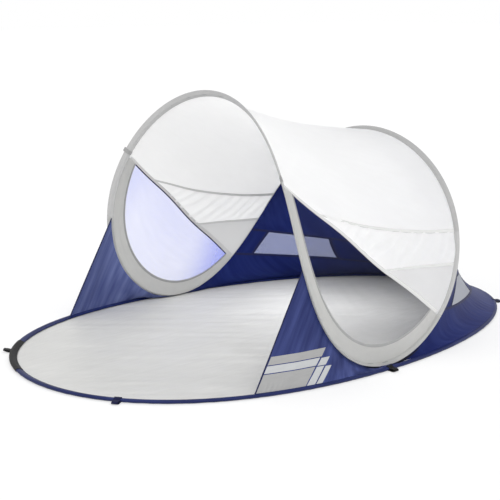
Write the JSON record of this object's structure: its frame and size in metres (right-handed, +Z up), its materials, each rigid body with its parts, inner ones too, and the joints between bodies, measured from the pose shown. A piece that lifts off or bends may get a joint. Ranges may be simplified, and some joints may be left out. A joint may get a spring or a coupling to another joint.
{
  "type": "pop-up beach shelter",
  "caption": "Pop-up beach shelter: a spring-hoop canopy on a groundsheet, open at one end, with mesh sides and a closed end with mesh windows.",
  "frame": {"origin": "middle of the groundsheet, on the ground", "axes": "+X along the groundsheet to the closed end, +Y to the back side, +Z up"},
  "size_m": [1.9486, 1.2878, 0.8529],
  "materials": {
    "navy_fabric": "satin",
    "white_canopy": "satin",
    "band_grey": "satin",
    "sleeve_grey": "satin",
    "floor_grey": "satin",
    "binding": "satin",
    "mesh": "satin",
    "patch_grey": "satin",
    "webbing": "matte",
    "spring_steel": "satin"
  },
  "bodies": {
    "root": {"floor_sheet": "floor_grey", "hem_wire": "spring_steel", "hem_sleeve_back_right": "navy_fabric", "hem_sleeve_back_left": "navy_fabric", "hem_sleeve_front_left": "navy_fabric", "hem_sleeve_front_right": "navy_fabric", "hem_patch": "patch_grey", "spring_wire": "spring_steel", "arch_sleeve_left": "sleeve_grey", "arch_sleeve_right": "sleeve_grey", "foot_sleeve_front": "band_grey", "foot_sleeve_back": "band_grey", "arch_tab_front": "webbing", "arch_tab_back": "webbing", "canopy_top": "white_canopy", "canopy_gather_front": "white_canopy", "canopy_gather_back": "white_canopy", "canopy_corner_front": "white_canopy", "canopy_corner_back": "white_canopy", "canopy_tape_front": "band_grey", "canopy_tape_back": "band_grey", "side_band_front": "band_grey", "side_band_back": "band_grey", "side_binding_front": "binding", "side_binding_back": "binding", "side_mesh_front": "mesh", "side_mesh_back": "mesh", "left_wing_front": "navy_fabric", "left_wing_back": "navy_fabric", "end_skirt_front": "navy_fabric", "end_skirt_back": "navy_fabric", "end_stile_front": "navy_fabric", "end_stile_back": "navy_fabric", "end_window_front": "mesh", "end_window_back": "mesh", "end_centre_stile": "navy_fabric", "end_top_front": "navy_fabric", "end_top_back": "navy_fabric", "peg_loop_front_left": "webbing", "peg_loop_back_left": "webbing", "peg_loop_front_foot": "webbing", "peg_loop_back_foot": "webbing", "peg_loop_front_right": "webbing", "peg_loop_back_right": "webbing"}
  },
  "joints": []
}
